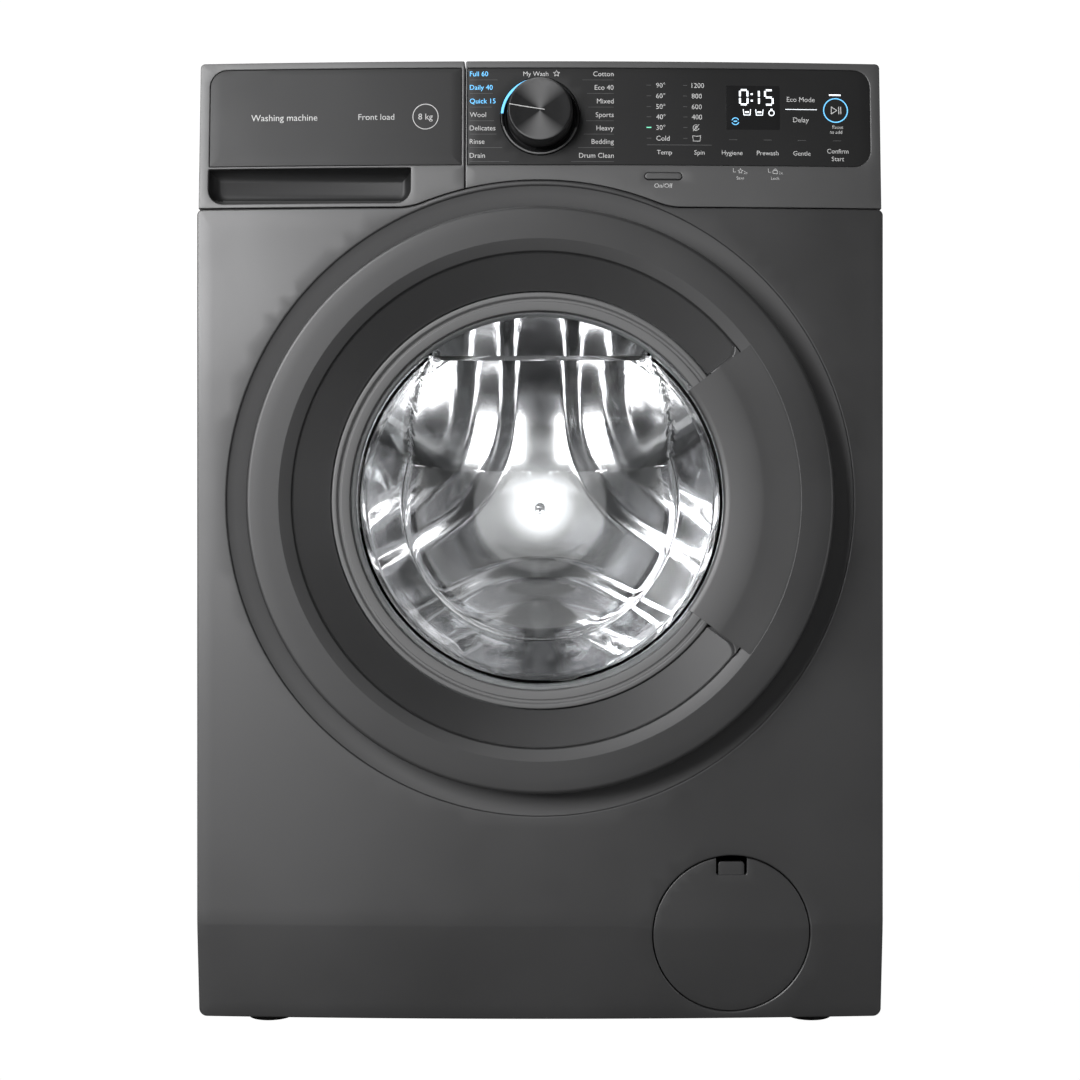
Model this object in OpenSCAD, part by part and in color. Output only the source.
// Front loading washing machine, 600 mm module, as an assembly of separate pieces.
// Origin: centre of the footprint on the floor. +Z up, the front faces -Y.
// "f" in comments and names is a distance forward of the origin, so y = -f.

/* [Cabinet] */
// Width of the cabinet and of the bowed front
cabinet_w = 597; // [590:1:600]
// Height to the top of the worktop
cabinet_h = 850; // [845:1:855]
// Gap under the cabinet, taken up by the feet
foot_gap = 16; // [14:1:20]
// Front face of the panel on the centre line, forward of the origin
front_f = 265; // [262:1:268]
// How far the sides of the front fall back from its middle
bow = 10; // [6:1:12]
// Thickness of the pressed and moulded front panels
wall = 2; // [1.5:0.5:3]
// Thickness of the cabinet sheet
sheet = 1.5; // [1:0.5:2]
// Height of the crease above which the front is upright
crease_z = 98; // [90:1:110]
// Lean of the front below the crease, in degrees
kick_angle = 7; // [4:0.5:8]

/* [Fascia] */
// Height of the seam between the front panel and the fascia
seam_z = 721; // [715:1:725]
// Lean of the fascia, in degrees
fascia_tilt = 4.4; // [3:0.2:6]
// Radius of the arch of the seam over the door
arch_r = 277; // [276:1:279]
// Radius of the fillets where the arch runs into the straight seam
arch_fillet = 60; // [50:1:70]
// Right edge of the drawer front
drawer_x = -65.5; // [-70:0.5:-60]
// Height of the programme knob
knob_z = 801; // [795:1:805]
// Radius of the programme knob
knob_r = 27.5; // [25:0.5:30]
// How far the knob stands out of the fascia
knob_h = 21; // [16:1:24]

/* [Door] */
// Height of the door and drum axis
door_z = 467; // [465:1:470]
// Outer radius of the door ring
door_r = 250; // [249:0.5:250.5]
// Outer radius of the sunk dish round the door
dish_r = 272.5; // [271:0.5:274]
// Outer radius of the glass bowl's flange
glass_r = 169.5; // [168:0.5:169.5]
// Half of the angle that the grip spans, in degrees
grip_half = 37; // [30:1:40]
// Place of the hinge axis across the machine
hinge_x = -243; // [-244:0.5:-242]
// Place of the hinge axis, forward of the origin
hinge_f = 272; // [271:0.5:273]

/* [Drum] */
// Outer radius of the drum
drum_r = 240; // [236:1:242]
// Outer radius of the tub
tub_r = 262; // [260:1:264]
// Radius of the drum pulley
pulley_r = 150; // [140:1:150]
// Radius of the motor pulley
motor_pulley_r = 12.5; // [10:0.5:14]

/* [Hidden] */
$fn = 96;
half_w = cabinet_w / 2;
// radius of the front's bow, from its width and its depth at the sides
bow_r = (half_w * half_w + bow * bow) / (2 * bow);
shell_f = 231.5;      // front edge of the cabinet wrap and of the worktop
rear_y = 280;         // outer face of the rear wall
crest_f = 293.6;      // frontmost line of the door ring, which the rear inlet reaches as far back
slant_z = 132;        // height over the door axis of the bowl's flattened side, at its front
slant_angle = 42.4;
top_z = 822;          // underside of the worktop
fascia_f = front_f - 1;
fascia_side = half_w - 1.2;
gap = 1;              // seam between neighbouring outer panels
plate_f = 243;        // front face of the flat field behind the door
port_r = 168;         // radius of the port in that field
frame_f = [250, 260]; // back and front of the door's inner frame
insert_z = [758, 844];
insert_x = 288.5;
insert_r = 15;
knob_hole_r = 33;
cover_x = 166;        // centre of the drain cover and of the pump axis
cover_z = 91;
cover_r = 67.8;
drum_f = [195, -135];      // front and back of the drum
tub_f = [214, 40, -165];   // tub front wall, its joint plane and rear wall
damper_at = [190, 30];     // x and y of the dampers
spring_at = [240, 30];     // x and y of the springs
brace_z = 803;
motor_z = 120;
foot_at = [[-245, -180], [245, -180], [-245, 240], [245, 240]];
recess_x = [-289, -112];   // finger recess in the drawer front
recess_z = [725, 756];
latch_x = 228;
latch_f = 255;
dish_f = [251, 256.5];      // depth of the dish's sloping band at its inner and outer edge
notch_f = 283.5;            // front of the hinge notch in the door ring

// ---------- shared geometry ----------

// Points of an arc about c, from angle a0 to a1, in n steps
function arc(c, r, a0, a1, n = 8) =
  [for (i = [0:n]) c + r * [cos(a0 + (a1 - a0) * i / n), sin(a0 + (a1 - a0) * i / n)]];

// Local frame of the door and drum: local +Z is forward, local +Y is up
module door_axis() {
  translate([0, 0, door_z]) rotate([90, 0, 0]) children();
}

// Turned piece about the door axis, from a profile of [radius, f] points
module turned(points, from = 0, angle = 360) {
  door_axis() rotate([0, 0, from]) rotate_extrude(angle = angle, $fn = 180) polygon(points);
}

// Straight bar along the depth, from f0 to f1, with an outline in X and Z
module depth_bar(f0, f1) {
  translate([0, -f0, 0]) rotate([90, 0, 0]) linear_extrude(f1 - f0) children();
}

// Box from its two corners
module block(low, high) {
  translate(low) cube(high - low);
}

// Upright block with the bowed front, its faces set in by s, reaching back to back_y
module bowed_block(face_f, side, s, z0, z1, back_y) {
  reach = asin((side - s) / (bow_r - s));
  translate([0, 0, z0]) linear_extrude(z1 - z0) polygon(concat(
    arc([0, bow_r - face_f], bow_r - s, -90 - reach, -90 + reach, 24),
    [[side - s, back_y], [s - side, back_y]]));
}

// Solid behind the front panel's face: upright above the crease, leaning back below it
module front_solid(s) {
  intersection() {
    bowed_block(front_f, half_w, s, foot_gap - 1, seam_z + 60, -shell_f);
    translate([0, -front_f, crease_z]) rotate([kick_angle, 0, 0]) translate([0, front_f, -crease_z])
      bowed_block(front_f, half_w + 5, s, -100, cabinet_h + 100, 0);
  }
}

// Solid behind the fascia's face, leaning back from the seam
module fascia_solid(s) {
  translate([0, -fascia_f, seam_z]) rotate([-fascia_tilt, 0, 0]) translate([0, fascia_f, -seam_z])
    bowed_block(fascia_f, half_w + 5, s, seam_z - 50, cabinet_h + 60, 20 - shell_f);
}

// Front view of the front panel, set in by s: straight sides, and the arch over the door
module panel_outline(s) {
  top = seam_z - gap / 2 - s;
  reach = arch_r + arch_fillet;
  rise = seam_z - gap / 2 + arch_fillet - door_z;
  fillet_x = sqrt(reach * reach - rise * rise);
  k = (arch_r - s) / reach;
  translate([s - half_w, foot_gap + s]) square([cabinet_w - 2 * s, top - foot_gap - s]);
  intersection() {
    translate([0, door_z]) circle(r = arch_r - s, $fn = 180);
    translate([-fillet_x * k, door_z]) square([2 * fillet_x * k, arch_r]);
  }
  difference() {
    polygon([[-fillet_x, top - 20], [fillet_x, top - 20], [fillet_x, top],
             [fillet_x * k, door_z + rise * k], [-fillet_x * k, door_z + rise * k], [-fillet_x, top]]);
    for (side = [-1, 1])
      translate([side * fillet_x, door_z + rise]) circle(r = arch_fillet + s, $fn = 96);
  }
}

// Front view of the fascia between x0 and x1, set in by s
module fascia_outline(x0, x1, s) {
  difference() {
    translate([x0 + s, seam_z - 10]) square([x1 - x0 - 2 * s, cabinet_h - s - seam_z + 10]);
    panel_outline(-gap - s);
  }
}

// Local frame on the fascia's face at height z: local +Z is the outward normal
module on_fascia(x, z) {
  translate([0, -fascia_f, seam_z]) rotate([-fascia_tilt, 0, 0])
    translate([x, bow_r - sqrt(bow_r * bow_r - x * x), (z - seam_z) / cos(fascia_tilt)])
      rotate([90, 0, 0]) children();
}

// Hollow shell of the fascia between x0 and x1
module fascia_shell(x0, x1) {
  difference() {
    intersection() {
      depth_bar(shell_f + 0.5, front_f + 1) fascia_outline(x0, x1, 0);
      fascia_solid(0);
    }
    intersection() {
      depth_bar(shell_f - 5, front_f) fascia_outline(x0, x1, wall + 0.5);
      fascia_solid(wall + 0.5);
    }
  }
}

// Sheet lying a little under the fascia's face, with an outline in X and Z
module fascia_layer(depth0, depth1) {
  difference() {
    intersection() {
      depth_bar(shell_f, front_f + 1) children();
      fascia_solid(depth0);
    }
    fascia_solid(depth1);
  }
}

// Outline of the dark inserts: rounded at the outer corners that are listed
module insert_outline(x0, x1, round_low, side, s = 0) {
  x_in = side > 0 ? x0 + s : x1 - s;
  x_out = side > 0 ? x1 - s : x0 + s;
  low = insert_z[0] + s;
  high = insert_z[1] - s;
  r = insert_r - s;
  polygon(concat(
    [[x_in, low], [x_in, high]],
    side > 0 ? arc([x_out - r, high - r], r, 90, 0) : arc([x_out + r, high - r], r, 90, 180),
    round_low ? arc([x_out - side * r, low + r], r, side > 0 ? 0 : 180, side > 0 ? -90 : 270)
              : [[x_out, low]]));
}

// ---------- cabinet ----------

module side_panels() color("dimgray")
  for (side = [-1, 1]) {
    translate([side * (half_w - sheet / 2), (rear_y - shell_f) / 2, (foot_gap + top_z) / 2])
      cube([sheet, rear_y + shell_f, top_z - foot_gap], center = true);
    // inward front flange, short of the fascia and the dispenser
    translate([side * (half_w - sheet - 6), -shell_f + sheet / 2, (foot_gap + 54 + 700) / 2])
      cube([12, sheet, 700 - foot_gap - 54], center = true);
  }

module rear_panel() color("dimgray") difference() {
  block([sheet - half_w, rear_y - sheet, foot_gap], [half_w - sheet, rear_y, top_z]);
  block([-135, rear_y - 10, 265], [155, rear_y + 10, 675]);
  translate([-230, 0, 770]) rotate([-90, 0, 0]) cylinder(r = 16, h = 400);
  translate([240, 0, 760]) rotate([-90, 0, 0]) cylinder(r = 13, h = 400);
  translate([190, 0, 775]) rotate([-90, 0, 0]) cylinder(r = 8, h = 400);
}

module rear_cover() color("silver") difference() {
  union() {
    block([-155, rear_y, 245], [175, rear_y + 1.5, 695]);
    // pressed round bulge that clears the pulley
    translate([0, rear_y, door_z]) rotate([-90, 0, 0]) cylinder(r1 = 130, r2 = 120, h = 6);
  }
  translate([0, rear_y - 1, door_z]) rotate([-90, 0, 0]) cylinder(r1 = 129, r2 = 118, h = 5.5);
  for (p = rear_screw_places())
    translate([p[0], 0, p[1]]) rotate([-90, 0, 0]) cylinder(r = 2.2, h = 400);
}

// X and Z of the screws round the rear cover
function rear_screw_places() = concat(
  [for (x = [-145, 165], i = [0:4]) [x, 255 + i * 107.5]],
  [for (z = [255, 685], i = [1:2]) [-145 + i * 310 / 3, z]]);

module rear_screws() color("gainsboro")
  for (p = rear_screw_places()) translate([p[0], rear_y + 1.5, p[1]]) rotate([-90, 0, 0]) {
    difference() {
      cylinder(r1 = 5.5, r2 = 4, h = 2.8, $fn = 32);
      translate([-4, -0.6, 1.8]) cube([8, 1.2, 2]);
    }
    translate([0, 0, -sheet]) cylinder(r = 2.2, h = sheet, $fn = 32);
  }

module base_pan() color("darkslategray") {
  low = foot_gap + 0.3;
  difference() {
    block([2.2 - half_w, -shell_f + 1.7, low], [half_w - 2.2, rear_y - 2, 50]);
    block([5.2 - half_w, -shell_f + 4.7, low + 3], [half_w - 5.2, rear_y - 5, 51]);
    for (p = foot_at) translate([p[0], p[1], 0]) cylinder(r = 14, h = 60);
  }
  for (p = foot_at) translate([p[0], p[1], low]) difference() {
    cylinder(r = 14, h = 34);
    translate([0, 0, -1]) cylinder(r = 5.05, h = 40);
  }
  // seats of the dampers and of the pump
  for (side = [-1, 1])
    block([side * damper_at[0] - 12, damper_at[1] - 12, low + 3],
          [side * damper_at[0] + 12, damper_at[1] + 12, 32]);
  for (y = [-200, -140])
    block([cover_x - 30, y, low + 3], [cover_x + 30, y + 6, cover_z - 37]);
}

module front_panel() color("#4a4a4b") {
  difference() {
    intersection() {
      depth_bar(shell_f, front_f + 1) panel_outline(0);
      front_solid(0);
    }
    intersection() {
      depth_bar(shell_f - 5, front_f) panel_outline(wall);
      front_solid(wall);
    }
    door_axis() cylinder(r = dish_r, h = front_f + 50, $fn = 180);
    depth_bar(shell_f - 5, front_f + 5)
      translate([cover_x, cover_z]) circle(r = cover_r + 1, $fn = 128);
  }
  // sunk dish round the door, its flat field, and the port's rolled edge
  intersection() {
    front_solid(0);
    difference() {
      turned([[dish_r + wall, front_f + 5], [dish_r, front_f + 5], [dish_r, dish_f[1]],
              [door_r + 3, dish_f[0]], [door_r + 3, plate_f], [port_r, plate_f], [port_r, plate_f - wall],
              [door_r + 3 + wall, plate_f - wall], [door_r + 3 + wall, dish_f[0] - 1.5],
              [dish_r + wall, dish_f[1] - 1.5]]);
      depth_bar(shell_f - 5, front_f + 5)
        translate([latch_x - 14, door_z - 9]) square([26, 18]);
    }
  }
}

module worktop() color("#3c3c3d") difference() {
  block([2 - half_w, -shell_f, top_z], [half_w - 2, rear_y, cabinet_h]);
  // relief under the board for the fascia's rear edge
  block([-half_w, -shell_f - 1, top_z - 1], [half_w, 5 - shell_f, top_z + 4]);
}

module cross_braces() color("silver") {
  reach = half_w - sheet;
  block([-reach, 5 - shell_f, top_z - 4], [reach, 30 - shell_f, top_z]);
  for (y = [spring_at[1] - 15, rear_y - 33]) difference() {
    block([-reach, y, brace_z], [reach, y + 30, top_z]);
    block([-reach - 1, y + 2, brace_z + 2], [reach + 1, y + 28, top_z - 2]);
  }
}

// ---------- fascia and its controls ----------

module fascia() color("#555556") difference() {
  fascia_shell(drawer_x + gap, fascia_side);
  // seat of the dark insert
  fascia_layer(-1, 1.9) insert_outline(drawer_x + gap - 1, insert_x, true, 1);
  on_fascia(0, knob_z) translate([0, 0, -40]) cylinder(r = knob_hole_r, h = 60);
  on_fascia(107, 748.3) translate([0, 0, -40]) rounded_bar(16.3, 3.2, 60);
}

// Bar with round ends, lying along local X, with half length a and half height b
module rounded_bar(a, b, h) {
  for (side = [-1, 1]) translate([side * (a - b), 0, 0]) cylinder(r = b, h = h, $fn = 48);
  translate([b - a, -b, 0]) cube([2 * (a - b), 2 * b, h]);
}

module fascia_insert() color("#2b2b2c") difference() {
  fascia_layer(0.4, 1.9) insert_outline(drawer_x + gap, insert_x, true, 1, 0.3);
  on_fascia(0, knob_z) translate([0, 0, -40]) cylinder(r = knob_hole_r, h = 60);
}

module knob_light_ring() color("#303032") on_fascia(0, knob_z) difference() {
  translate([0, 0, -9]) rotate_extrude() polygon([
    [4.05, 0], [knob_hole_r - 0.2, 0], [knob_hole_r - 0.2, 9.2], [knob_hole_r - 0.8, 10],
    [knob_hole_r - 2.8, 10], [knob_hole_r - 3.4, 9.2], [knob_hole_r - 3.4, 4], [4.05, 4]]);
}

module program_knob() color("#5a5a5c") on_fascia(0, knob_z) difference() {
  union() {
    translate([0, 0, -4.5]) rotate_extrude() polygon(concat(
      [[0, 0], [knob_r, 0], [knob_r, 6], [knob_r - 0.6, knob_h + 2.5]],
      arc([knob_r - 2.6, knob_h + 2.5], 2, 0, 90, 5),
      [[0, knob_h + 4.5]]));
    translate([0, 0, -14]) cylinder(r = 4, h = 12, $fn = 48);
  }
  // pointer groove, from near the middle to the rim
  rotate([0, 0, 172]) translate([-8, -0.5, knob_h - 0.5]) cube([knob_r + 10, 1, 3]);
}

module power_button() color("#4a4a4c")
  on_fascia(107, 748.3) translate([0, 0, -9]) rounded_bar(16, 2.9, 10.6);

module drawer_front() color("#555556") {
  difference() {
    fascia_shell(-fascia_side, drawer_x);
    fascia_layer(-1, 1.9) insert_outline(-insert_x, drawer_x + 1, false, -1);
    recess_outline(-0.01);
  }
  // pocket behind the finger recess, which rises behind the insert's lower edge
  difference() {
    intersection() {
      union() {
        recess_outline(wall, 4);
        block([recess_x[0] - wall, -252.8, recess_z[1] - 3], [recess_x[1] + wall, -235, recess_z[1] + 10]);
      }
      fascia_solid(wall + 0.4);
    }
    recess_outline(0);
    block([recess_x[0], -250.8, recess_z[1] - 5], [recess_x[1], -236 - wall, recess_z[1] + 8]);
    block([-half_w, -237.5, 700], [0, -200, 800]);
  }
}

// Finger recess as a bar through the drawer front, grown by s
module recess_outline(s, lip = 0) {
  r = 13;
  depth_bar(239 - s, front_f + 5) polygon(concat(
    arc([recess_x[0] + r, recess_z[0] + r], r + s, 180, 270),
    arc([recess_x[1] - r, recess_z[0] + r], r + s, 270, 360),
    [[recess_x[1] + s, recess_z[1] + s - lip], [recess_x[0] - s, recess_z[1] + s - lip]]));
}

module drawer_insert() color("#2f2f30")
  fascia_layer(0.4, 1.9) insert_outline(-insert_x, drawer_x, false, -1, 0.3);

module drawer_tray() color("gainsboro") difference() {
  block([-284, -232, 742], [-76, -22, 804]);
  for (c = tray_cells())
    block([c[0], -226, 744], [c[1], -24, 805]);
  // pour spouts through the rear of each wash cell
  for (c = [tray_cells()[0], tray_cells()[1]])
    block([c[0] + 10, -30, 744], [c[1] - 10, -20, 760]);
}

// Left and right of the prewash, main wash and softener cells
function tray_cells() = [[-282, -224], [-222, -150], [-148, -78]];

module siphon_cap() color("lightskyblue") {
  c = tray_cells()[2];
  block([c[0] + 0.2, -90, 786], [c[1] - 0.2, -30, 789]);
  translate([(c[0] + c[1]) / 2, -60, 745]) difference() {
    cylinder(r = 7, h = 41, $fn = 48);
    translate([0, 0, -1]) cylinder(r = 5, h = 41, $fn = 48);
  }
}

module dispenser_housing() color("white") difference() {
  block([-289, -230, 734], [-71, -8, 817]);
  block([-286.5, -231, 741.4], [-73.5, -11, 814]);
  // sloping drain to the hose at the rear
  block([-200, -60, 730], [-160, -11, 742]);
}

module inlet_valve() color("white") translate([-230, 0, 770]) rotate([-90, 0, 0]) {
  difference() {
    union() {
      translate([0, 0, 250]) cylinder(r = 14.5, h = rear_y - sheet - 250);
      translate([0, 0, rear_y - sheet]) cylinder(r = 13.2, h = crest_f - rear_y + sheet);
      translate([0, 0, rear_y - sheet - 6]) cylinder(r = 20, h = 6);
    }
    translate([0, 0, -1]) cylinder(r = 30, h = 216);
    translate([0, 0, 262]) cylinder(r = 9.5, h = 60);
  }
  // solenoid
  translate([-16, 6, 225]) cube([32, 34, 30]);
}

module drain_spigot() color("dimgray") translate([240, 0, 760]) rotate([-90, 0, 0]) difference() {
  union() {
    translate([0, 0, rear_y - 25]) cylinder(r = 11, h = 25 + 12);
    translate([0, 0, rear_y]) cylinder(r = 16, h = 3);
    translate([0, 0, rear_y - sheet - 3]) cylinder(r = 16, h = 3);
  }
  translate([0, 0, rear_y - 30]) cylinder(r = 8, h = 60);
}

module cord_gland() color("black") translate([190, 0, 775]) rotate([-90, 0, 0]) difference() {
  union() {
    translate([0, 0, rear_y - sheet - 10]) cylinder(r = 7.8, h = 21);
    translate([0, 0, rear_y]) cylinder(r = 11, h = 3);
  }
  translate([0, 0, rear_y - 20]) cylinder(r = 4, h = 60, $fn = 48);
}

// ---------- door ----------

// Rolled outer edge, flat face, and bevel down to the dark ring
module door_outer_ring() color("#565657") difference() {
  turned(concat([[door_r, 250.5]], arc([door_r - 4, crest_f - 4], 4, 0, 90, 5),
    [[222, crest_f - 0.2], [212.2, 290.7], [210.8, 289.5], [210.8, 286.9], [221, 289.9],
     [door_r - 6, 289.9], [door_r - 3, 287], [door_r - 3, 250.5]]));
  // side notch for the hinge arms, behind the visible face
  block([-door_r - 2, -notch_f, door_z - 35], [-236, -249, door_z + 35]);
  // the grip takes the ring's inner bevel on the right
  turned([[200, 276], [219.8, 276], [219.8, 300], [200, 300]], -grip_half, 2 * grip_half);
}

module door_dark_ring() color("#2a2a2b")
  turned([[181, 266.3], [210.5, 289.9], [210.5, 286.4], [182.5, 264.2]],
    grip_half + 0.3, 360 - 2 * grip_half - 0.6);

module door_trim_ring() color("#8a8a8c")
  turned(concat([[164, 259.3], [169.8, 259.3], [169.8, 260.2], [179.8, 260.2], [179.8, 266]],
    arc([177.8, 266], 2, 0, 90, 4), arc([174, 266], 2, 90, 180, 4),
    [[170, 264], [166, 263], [164, 261.5]]));

module door_grip() color("#4c4c4d")
  turned(concat([[156.5, 283.5]], arc([160, 284.5], 3.5, 180, 100, 5),
    [[170, 289.6], [182, 291.6], [200, 292.8], [219.5, 292.8], [219.5, 279], [216, 279], [214, 262],
     [211, 262], [211, 287.6], [200, 289.6], [182, 288.4], [170, 286.4], [160, 283]]),
    -grip_half, 2 * grip_half);

module door_glass() color([0.75, 0.8, 0.82, 0.35]) difference() {
  union() {
    turned([[0, 255], [glass_r, 255], [glass_r, 259], [0, 259]]);
    // bowl, with the upper side flattened to guide the laundry
    intersection() {
      turned(concat([[0, 256], [160, 256], [156.5, 240], [131, 166]], arc([118, 166], 13, 0, -75, 6),
        [[60, 148.5], [0, 147]]));
      glass_slant(0);
    }
  }
  intersection() {
    turned(concat([[0, 262], [159, 262], [156, 256], [151.5, 240], [126, 167]],
      arc([118, 167], 8, 0, -75, 6), [[60, 154], [0, 152.5]]));
    glass_slant(5);
  }
}

// Everything below the plane that flattens the top of the bowl, which leans back by slant_angle
module glass_slant(s) {
  translate([0, -258, door_z + slant_z]) rotate([-slant_angle, 0, 0]) translate([-300, -100, -500 - s])
    cube([600, 600, 500]);
}

module door_inner_frame() color("#39393a") difference() {
  turned([[171, frame_f[0]], [246, frame_f[0]], [246, frame_f[1]], [170, frame_f[1]], [170, 254.6],
          [160, 254.6], [160.5, 252.5], [171, 252.5]]);
  block([-door_r, -frame_f[1] - 1, door_z - 36], [-226, 1 - frame_f[0], door_z + 36]);
  // pocket and bore of the latch
  block([latch_x - 9, -frame_f[1] - 1, door_z - 6], [latch_x + 9, 1 - frame_f[0], door_z + 6]);
  translate([latch_x, -latch_f, door_z - 12]) cylinder(r = 1.5, h = 24, $fn = 32);
}

module hinge_leaf() color("silver") {
  difference() {
    union() {
      translate([hinge_x, -hinge_f, door_z - 19.7]) cylinder(r = 5.5, h = 39.4, $fn = 48);
      block([hinge_x, -hinge_f - 1, door_z - 19.7], [-216, 4 - hinge_f, door_z + 19.7]);
      block([-222, -hinge_f - 1, door_z - 30], [-217, -frame_f[1], door_z + 30]);
    }
    translate([hinge_x, -hinge_f, door_z - 30]) cylinder(r = 3.05, h = 60, $fn = 48);
  }
}

module hinge_bracket() color("silver") {
  block([-246, -plate_f - 3, door_z - 45], [-222, -plate_f, door_z + 45]);
  for (side = [-1, 1]) translate([0, 0, door_z + side * 26]) difference() {
    union() {
      translate([hinge_x, -hinge_f, -6]) cylinder(r = 6, h = 12, $fn = 48);
      block([hinge_x - 3, -hinge_f, -6], [hinge_x + 3, -plate_f - 3, 6]);
    }
    translate([hinge_x, -hinge_f, -10]) cylinder(r = 3, h = 20, $fn = 48);
  }
}

module hinge_pin() color("gainsboro")
  translate([hinge_x, -hinge_f, door_z - 32]) cylinder(r = 3, h = 64, $fn = 48);

module latch_hook() color("silver") translate([latch_x, -latch_f, door_z]) difference() {
  union() {
    translate([0, 0, -4]) cylinder(r = 4.6, h = 8, $fn = 48);
    block([-3, 0, -4], [3, 33, 4]);
    block([-8, 27, -4], [3, 33, 4]);
  }
  translate([0, 0, -5]) cylinder(r = 1.55, h = 10, $fn = 32);
}

module latch_pin() color("gainsboro")
  translate([latch_x, -latch_f, door_z - 12]) cylinder(r = 1.5, h = 24, $fn = 32);

module door_lock() color("#202020") difference() {
  block([latch_x - 20, 1 + wall - plate_f, door_z - 40], [latch_x + 16, -217, door_z + 40]);
  block([latch_x - 14, -plate_f, door_z - 8], [latch_x + 12, -219.5, door_z + 8]);
}

module gasket() color("#6f7073")
  turned(concat([[162, 236], [161, 244]], arc([165, 244.5], 3.5, 170, 10, 6),
    [[168.5, plate_f + 0.2], [167.7, plate_f], [167.7, 239], [170.5, 238.8], [171, 234], [178.5, 228],
     [178.5, 214.5], [175.3, 214.5], [175.3, 222.5], [166.5, 230]]));

// ---------- tub, drum and drive ----------

module tub_front() color("whitesmoke") difference() {
  union() {
    turned([[171, tub_f[0] - 4], [tub_r - 4, tub_f[0] - 4], [tub_r - 4, tub_f[1]],
            [tub_r + 6, tub_f[1]], [tub_r + 6, tub_f[1] + 6], [tub_r, tub_f[1] + 6], [tub_r, tub_f[0]],
            [175, tub_f[0]], [175, 222], [171, 222]]);
    translate([cover_x, -150, 235]) cylinder(r = 22, h = 60);
  }
  translate([cover_x, -150, 230]) cylinder(r = 18, h = 80);
  turned([[0, 42], [tub_r - 4, 42], [tub_r - 4, tub_f[0] - 4], [0, tub_f[0] - 4]]);
}

module tub_rear() color("whitesmoke") difference() {
  union() {
    turned([[36, tub_f[2]], [tub_r - 4, tub_f[2]], [tub_r - 4, tub_f[1] - 0.2], [tub_r + 6, tub_f[1] - 0.2],
            [tub_r + 6, tub_f[1] - 6], [tub_r, tub_f[1] - 6], [tub_r, tub_f[2] - 4], [50, tub_f[2] - 4],
            [44, tub_f[2] - 42], [24, tub_f[2] - 42], [24, tub_f[2] - 6], [36, tub_f[2] - 6]]);
    // stiffening ribs on the rear wall
    for (a = [0:30:330]) door_axis() rotate([0, 0, a + 15])
      translate([48, -2, tub_f[2] - 22]) cube([tub_r - 52, 4, 20]);
    // lugs for the dampers, the springs and the motor
    for (side = [-1, 1]) {
      translate([side * damper_at[0], damper_at[1], 276]) cube([24, 20, 30], center = true);
      translate([side * 219, spring_at[1], 645]) cube([58, 16, 16], center = true);
      translate([side * 45, 90, 205]) cube([14, 70, 50], center = true);
    }
  }
  turned([[0, tub_f[1] + 5], [tub_r - 4, tub_f[1] + 5], [tub_r - 4, tub_f[2]], [0, tub_f[2]]]);
  // way through for the heater
  block([-32, 150, 213], [32, 200, 226]);
}

module front_counterweight() color("darkgray")
  turned([[190, tub_f[0] + 0.3], [250, tub_f[0] + 0.3], [250, 234], [246, 237], [194, 237], [190, 234]],
    22, 316);

module top_counterweight() color("darkgray") difference() {
  block([-60, -10, 700], [170, 110, 775]);
  translate([0, -100, door_z]) rotate([-90, 0, 0]) cylinder(r = tub_r + 0.3, h = 300, $fn = 180);
  // clearance over the flange between the tub's halves
  translate([0, -50, door_z]) rotate([-90, 0, 0]) cylinder(r = tub_r + 7, h = 20, $fn = 180);
}

module heater() color("silver") {
  block([-38, -tub_f[2] + 4, 210], [38, 12 - tub_f[2], 229]);
  for (x = [-22, 22])
    translate([x, -150, 219.3]) rotate([-90, 0, 0]) cylinder(r = 3.2, h = 154 - tub_f[2], $fn = 32);
  translate([-22, -150, 219.3]) rotate([0, 90, 0]) cylinder(r = 3.2, h = 44, $fn = 32);
}

module drum_shell() color("gainsboro")
  turned(concat([[drum_r, drum_f[1]], [drum_r, drum_f[0] - 6]],
    arc([drum_r - 6, drum_f[0] - 6], 6, 0, 90, 4),
    [[172, drum_f[0]]], arc([169, drum_f[0] - 4], 4, 60, 180, 5),
    [[166.5, drum_f[0] - 4], [169, drum_f[0] - 1.5], [drum_r - 6, drum_f[0] - 1.5],
     [drum_r - 1.5, drum_f[0] - 6], [drum_r - 1.5, drum_f[1] + 1.5], [205, drum_f[1] + 1.5],
     [200, drum_f[1] + 8], [70, drum_f[1] + 14],
     [60, drum_f[1] + 20], [0, drum_f[1] + 21], [0, drum_f[1] + 19.5], [60, drum_f[1] + 18.5],
     [69, drum_f[1] + 12.5], [199, drum_f[1] + 6.5], [204, drum_f[1]]]));

module drum_lifters() color("whitesmoke")
  for (a = [30, 150, 270]) door_axis() rotate([0, 0, a]) translate([0, 0, -110]) intersection() {
    linear_extrude(280) polygon([[drum_r - 2, -30], [200, -9], [196, 0], [200, 9], [drum_r - 2, 30]]);
    cylinder(r = drum_r - 1.8, h = 280, $fn = 180);
  }

module drum_spider() color("silver") door_axis() difference() {
  union() {
    translate([0, 0, drum_f[1] - 22]) cylinder(r = 42, h = 34);
    for (a = [90, 210, 330]) rotate([0, 0, a]) translate([30, -16, drum_f[1] - 16]) cube([202, 32, 15.5]);
  }
  translate([0, 0, drum_f[1] - 60]) cylinder(r = 15, h = 60, $fn = 64);
  translate([0, 0, drum_f[1] + 4]) cylinder(r = 50, h = 30);
}

module drum_shaft() color("lightgray") door_axis() {
  translate([0, 0, -247]) cylinder(r = 15, h = 247 + drum_f[1] - 1, $fn = 64);
}

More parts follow.
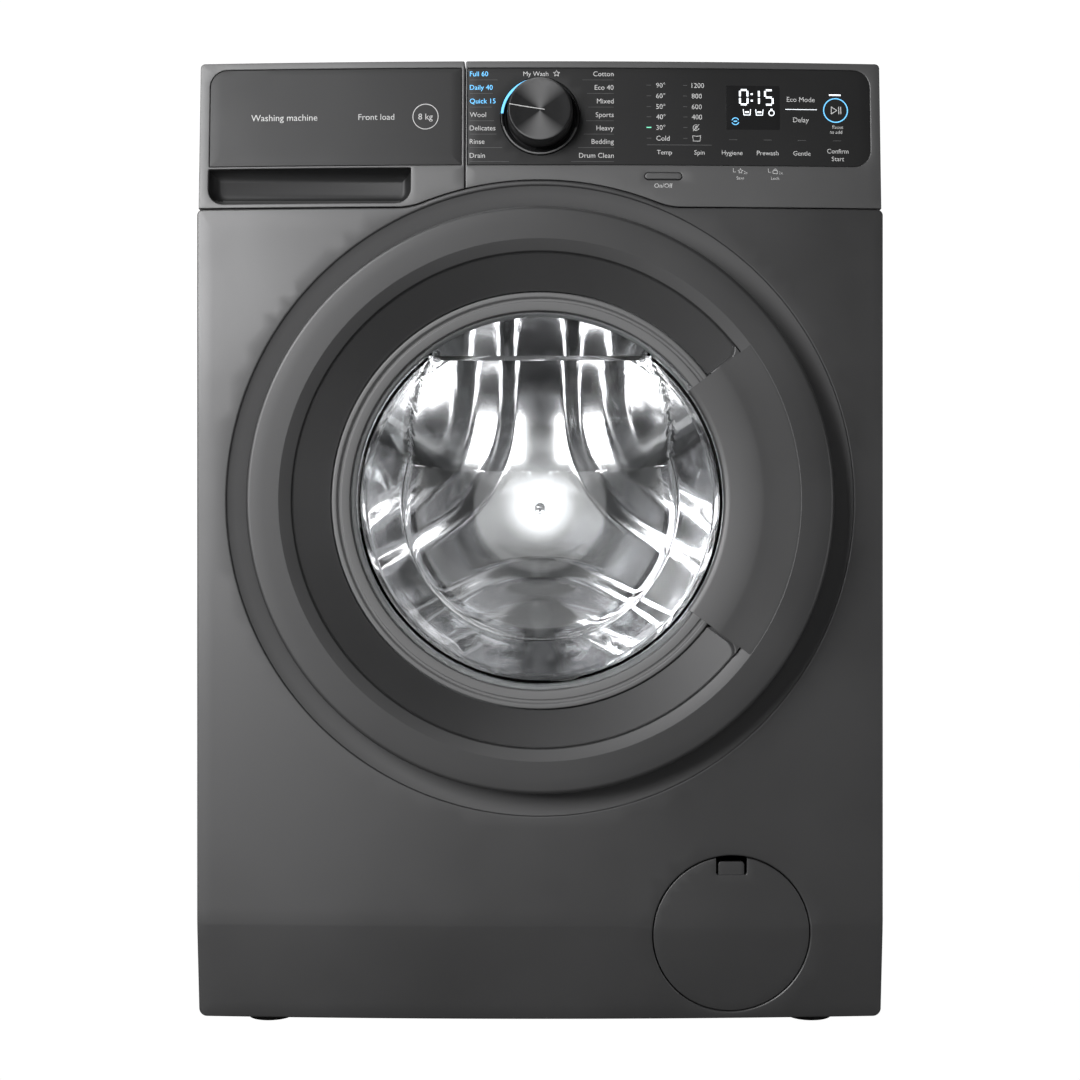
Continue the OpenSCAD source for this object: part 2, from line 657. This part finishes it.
module drum_pulley() color("silver") door_axis() difference() {
  translate([0, 0, -243]) union() {
    rotate_extrude() polygon([[pulley_r - 8, 0], [pulley_r, 0], [pulley_r, 20], [pulley_r - 8, 20]]);
    for (a = [0:60:300]) rotate([0, 0, a]) translate([15, -9, 4]) cube([pulley_r - 20, 18, 8]);
    cylinder(r = 30, h = 20);
  }
  translate([0, 0, -250]) cylinder(r = 15, h = 60, $fn = 64);
}

module bearings() color("gray")
  for (f = [-190, -207]) turned([[15.03, f], [23.9, f], [23.9, f + 14], [15.03, f + 14]]);

// Belt as a flat loop round both pulleys
module drive_belt() color("#1a1a1a")
  translate([0, 240, 0]) rotate([90, 0, 0]) linear_extrude(14) difference() {
    belt_outline(3.5);
    belt_outline(0.4);
  }

module belt_outline(s) hull() {
  translate([0, door_z]) circle(r = pulley_r + s, $fn = 128);
  translate([0, motor_z]) circle(r = motor_pulley_r + s, $fn = 48);
}

module motor_housing() color("dimgray") {
  translate([0, 20, motor_z]) rotate([-90, 0, 0]) difference() {
    cylinder(r = 62, h = 190);
    translate([0, 0, 4]) cylinder(r = 58.5, h = 182);
    translate([0, 0, -1]) cylinder(r = 8.05, h = 300, $fn = 48);
  }
  for (side = [-1, 1]) translate([side * 45, 90, 171]) cube([14, 70, 18], center = true);
}

module motor_rotor() color("darkgray") translate([0, 0, motor_z]) rotate([-90, 0, 0]) {
  translate([0, 0, 24]) cylinder(r = 8, h = 219, $fn = 48);
  translate([0, 0, 55]) cylinder(r = 36, h = 120);
  translate([0, 0, 223]) cylinder(r = motor_pulley_r, h = 20, $fn = 48);
}

module suspension_springs() color("lightgray")
  for (side = [-1, 1]) translate([side * spring_at[0], spring_at[1], 653.3]) difference() {
    cylinder(r = 12, h = brace_z - 653.3);
    translate([0, 0, -1]) cylinder(r = 8, h = 200);
  }

module damper_cylinders() color("#222222")
  for (side = [-1, 1]) translate([side * damper_at[0], damper_at[1], 32]) difference() {
    cylinder(r = 15, h = 138);
    translate([0, 0, 12]) cylinder(r = 8.05, h = 140, $fn = 64);
  }

module damper_rods() color("whitesmoke")
  for (side = [-1, 1])
    translate([side * damper_at[0], damper_at[1], 60]) cylinder(r = 8, h = 201, $fn = 64);

// ---------- drain pump and feet ----------

module pump_body() color("#303030") {
  translate([cover_x, 0, cover_z]) rotate([90, 0, 0]) difference() {
    union() {
      translate([0, 0, 40]) cylinder(r = 30, h = 55);
      translate([0, 0, 95]) cylinder(r = 36, h = 125);
    }
    translate([0, 0, 122]) cylinder(r = 30, h = 120);
    translate([0, 0, 97]) cylinder(r = 26, h = 40);
    translate([0, 0, 60]) cylinder(r = 2.55, h = 60, $fn = 32);
  }
  translate([cover_x, -150, cover_z]) difference() {
    cylinder(r = 20, h = 54);
    translate([0, 0, -1]) cylinder(r = 17, h = 60);
    rotate([90, 0, 0]) translate([0, 0, -80]) cylinder(r = 35, h = 160);
  }
}

module pump_impeller() color("white") translate([cover_x, 0, cover_z]) rotate([90, 0, 0]) {
  translate([0, 0, 62]) cylinder(r = 2.5, h = 40, $fn = 32);
  translate([0, 0, 99]) cylinder(r = 22, h = 3);
  for (a = [0:60:300]) rotate([0, 0, a]) translate([3, -1, 101]) cube([18, 2, 14]);
  translate([0, 0, 100]) cylinder(r = 5, h = 15, $fn = 32);
}

module pump_filter() color("#b9bcc0") translate([cover_x, 0, cover_z]) rotate([90, 0, 0]) difference() {
  union() {
    translate([0, 0, 126]) cylinder(r = 29.95, h = 95);
    translate([0, 0, 220.3]) cylinder(r = 34, h = 10);
    translate([-28, -4, 229]) cube([56, 8, 13]);
  }
  translate([0, 0, 120]) cylinder(r = 26, h = 90);
  for (a = [0:30:330]) rotate([0, 0, a]) translate([20, -3.5, 136]) cube([20, 7, 66]);
}

module sump_hose() color("#1d1d1d") translate([cover_x, -150, cover_z + 54]) difference() {
  cylinder(r = 21, h = 235 - cover_z - 54);
  translate([0, 0, -1]) cylinder(r = 17.5, h = 120);
}

module drain_cover() color("#3b3b3c") {
  difference() {
    intersection() {
      depth_bar(shell_f, front_f + 1) translate([cover_x, cover_z]) circle(r = cover_r, $fn = 128);
      front_solid(0);
    }
    front_solid(3);
    // finger notch at the top
    block([cover_x - 13.5, -front_f - 5, cover_z + 52], [cover_x + 13.5, -shell_f, cover_z + 80]);
  }
  // tab behind the notch
  difference() {
    intersection() {
      block([cover_x - 12, -front_f, cover_z + 44], [cover_x + 12, -shell_f, cover_z + 60]);
      front_solid(2);
    }
    front_solid(5);
  }
  // snap lugs that hold the cover in the panel's hole
  intersection() {
    for (a = [-90, 0, 180]) translate([cover_x, 0, cover_z]) rotate([0, a, 0])
      block([cover_r - 8, -front_f, -7], [cover_r - 4, -240, 7]);
    front_solid(1.5);
  }
}

module levelling_foot(p) color("#1b1b1b") translate([p[0], p[1], 0]) {
  rotate_extrude() polygon([[0, 0], [20, 0], [21, 1], [21, 4], [17, 8], [0, 8]]);
  translate([0, 0, 7]) cylinder(r = 12, h = 5, $fn = 6);
  translate([0, 0, 11]) cylinder(r = 5, h = 36, $fn = 48);
}

module foot_front_left() levelling_foot(foot_at[0]);
module foot_front_right() levelling_foot(foot_at[1]);
module foot_rear_left() levelling_foot(foot_at[2]);
module foot_rear_right() levelling_foot(foot_at[3]);

side_panels();
rear_panel();
rear_cover();
rear_screws();
base_pan();
front_panel();
worktop();
cross_braces();
fascia();
fascia_insert();
knob_light_ring();
program_knob();
power_button();
dispenser_housing();
drawer_front();
drawer_insert();
drawer_tray();
siphon_cap();
inlet_valve();
drain_spigot();
cord_gland();
door_outer_ring();
door_dark_ring();
door_trim_ring();
door_grip();
door_glass();
door_inner_frame();
hinge_leaf();
hinge_bracket();
hinge_pin();
latch_hook();
latch_pin();
door_lock();
gasket();
tub_front();
tub_rear();
front_counterweight();
top_counterweight();
heater();
drum_shell();
drum_lifters();
drum_spider();
drum_shaft();
drum_pulley();
bearings();
drive_belt();
motor_housing();
motor_rotor();
suspension_springs();
damper_cylinders();
damper_rods();
pump_body();
pump_impeller();
pump_filter();
sump_hose();
drain_cover();
foot_front_left();
foot_front_right();
foot_rear_left();
foot_rear_right();
